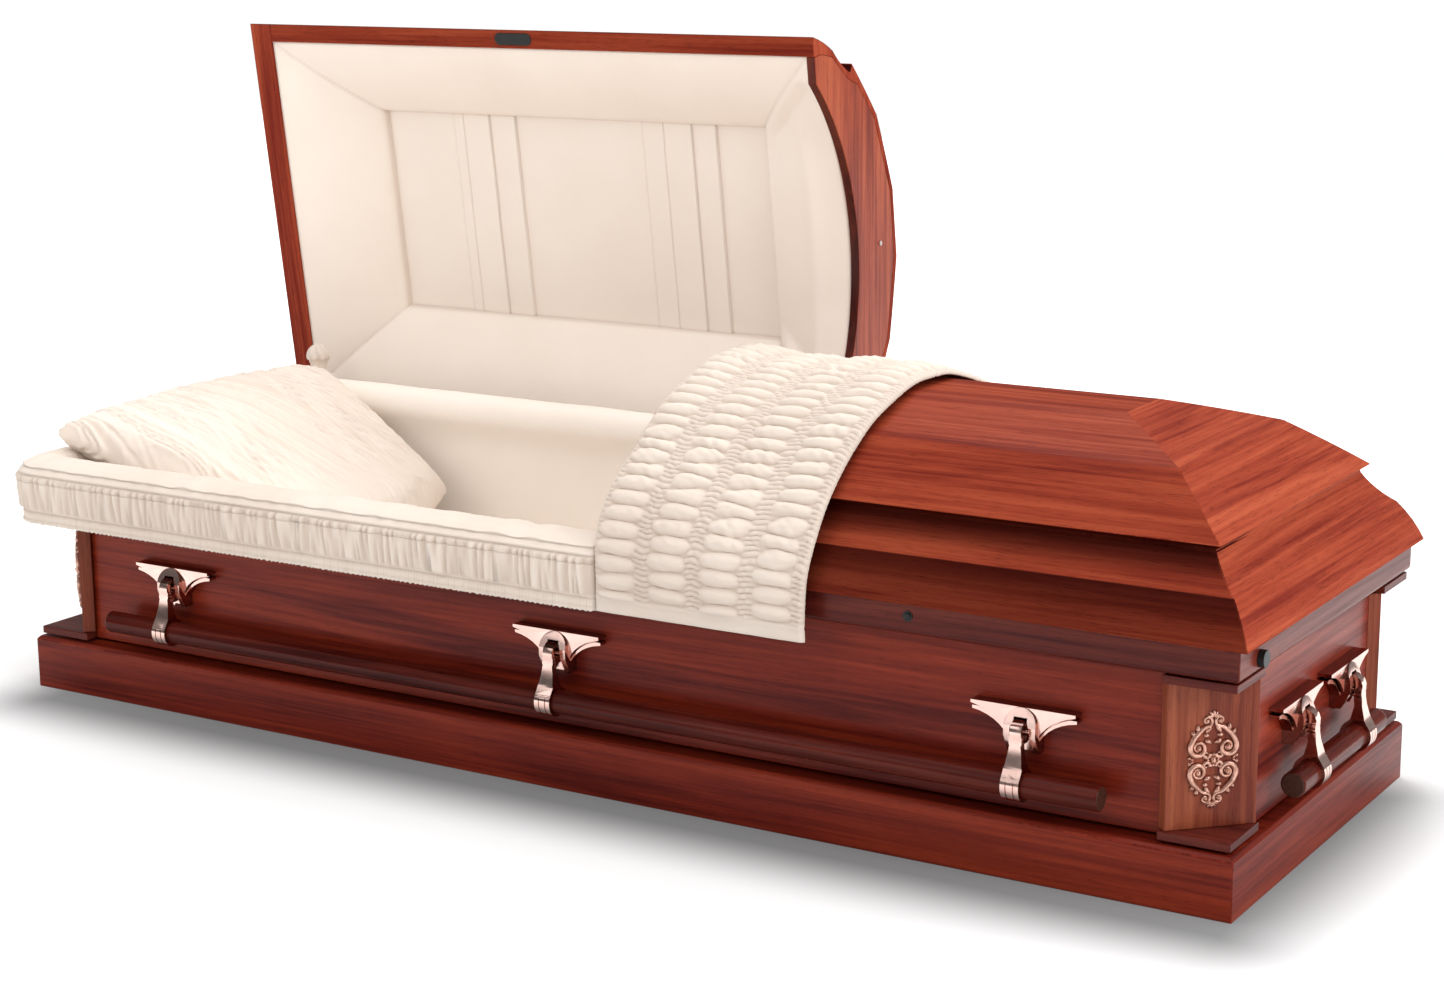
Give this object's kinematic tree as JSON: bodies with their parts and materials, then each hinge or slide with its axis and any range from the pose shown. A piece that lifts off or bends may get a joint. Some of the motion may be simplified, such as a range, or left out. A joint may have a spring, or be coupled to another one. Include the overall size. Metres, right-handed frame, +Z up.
{
  "type": "funeral casket",
  "caption": "Wooden casket with a hipped two-part lid, the head lid open, padded cream lining, a quilt over the foot lid, and swinging bar handles on all sides.",
  "frame": {"origin": "centre of the plinth's underside", "axes": "+X runs to the foot end, -Y is the front, +Z is up"},
  "size_m": [2.12, 0.9136, 1.0377],
  "materials": {
    "mahogany": "red-brown mahogany under satin varnish, grain along the length",
    "upright_wood": "red-brown mahogany under satin varnish, grain upright",
    "bar_wood": "turned red-brown mahogany under satin varnish, dark end grain",
    "dark_wood": "dark stained mahogany under satin varnish",
    "rose_gold": "polished rose-gold plating on cast metal",
    "copper": "matt copper-coloured casting",
    "steel": "plated sheet steel",
    "black": "matt black",
    "satin": "smooth cream satin over padding",
    "crepe": "ivory crepe, shirred and quilted"
  },
  "bodies": {
    "root": {"plinth": "mahogany", "base_board": "dark_wood", "rail": "dark_wood", "wall_front": "mahogany", "wall_back": "mahogany", "wall_head": "mahogany", "wall_foot": "mahogany", "corner_board_front_head": "upright_wood", "corner_board_front_foot": "upright_wood", "corner_board_back_head": "upright_wood", "corner_board_back_foot": "upright_wood", "corner_block_front_head": "dark_wood", "corner_block_front_foot": "dark_wood", "corner_block_back_head": "dark_wood", "corner_block_back_foot": "dark_wood", "ornament_front_head": "copper", "ornament_front_foot": "copper", "ornament_back_head": "copper", "ornament_back_foot": "copper", "front_plate_1": "rose_gold", "front_plate_2": "rose_gold", "front_plate_3": "rose_gold", "back_plate_1": "rose_gold", "back_plate_2": "rose_gold", "back_plate_3": "rose_gold", "head_plate_1": "rose_gold", "head_plate_2": "rose_gold", "foot_plate_1": "rose_gold", "foot_plate_2": "rose_gold", "body_hinge_leaf": "steel", "foot_end_plug": "black", "front_plug": "black", "mattress": "satin", "pillow": "crepe", "body_lining": "satin", "extendover": "crepe"},
    "front_handle": {"front_arm_1": "rose_gold", "front_arm_2": "rose_gold", "front_arm_3": "rose_gold", "front_bar": "bar_wood"},
    "back_handle": {"back_arm_1": "rose_gold", "back_arm_2": "rose_gold", "back_arm_3": "rose_gold", "back_bar": "bar_wood"},
    "head_handle": {"head_arm_1": "rose_gold", "head_arm_2": "rose_gold", "head_bar": "bar_wood"},
    "foot_handle": {"foot_arm_1": "rose_gold", "foot_arm_2": "rose_gold", "foot_bar": "bar_wood"},
    "head_lid": {"head_lid": "mahogany", "head_lid_end_board": "mahogany", "head_lid_lining": "satin", "lock_plate": "black", "head_hinge_leaf": "steel"},
    "foot_lid": {"foot_lid": "mahogany", "foot_lid_end_board": "mahogany", "foot_lid_lining": "satin", "foot_hinge_leaf": "steel", "quilt": "crepe"}
  },
  "joints": [
    {"name": "head_lid_hinge", "type": "hinge", "parent": "root", "child": "head_lid", "pos_m": [-0.45, 0.354, 0.346], "axis": [1, 0, 0], "range_deg": [0, 82.4], "deforming": ["extendover", "pillow", "body_lining"]},
    {"name": "foot_lid_hinge", "type": "hinge", "parent": "root", "child": "foot_lid", "pos_m": [0.55, 0.354, 0.346], "axis": [-1, 0, 0], "range_deg": [0, 82.4]},
    {"name": "front_handle_swing", "type": "hinge", "parent": "root", "child": "front_handle", "pos_m": [0, -0.324, 0.2025], "axis": [-1, 0, 0], "range_deg": [0, 85]},
    {"name": "back_handle_swing", "type": "hinge", "parent": "root", "child": "back_handle", "pos_m": [0, 0.324, 0.2025], "axis": [1, 0, 0], "range_deg": [0, 85]},
    {"name": "head_handle_swing", "type": "hinge", "parent": "root", "child": "head_handle", "pos_m": [-1.027, 0, 0.2025], "axis": [0, 1, 0], "range_deg": [0, 85]},
    {"name": "foot_handle_swing", "type": "hinge", "parent": "root", "child": "foot_handle", "pos_m": [1.027, 0, 0.2025], "axis": [0, -1, 0], "range_deg": [0, 85]}
  ]
}
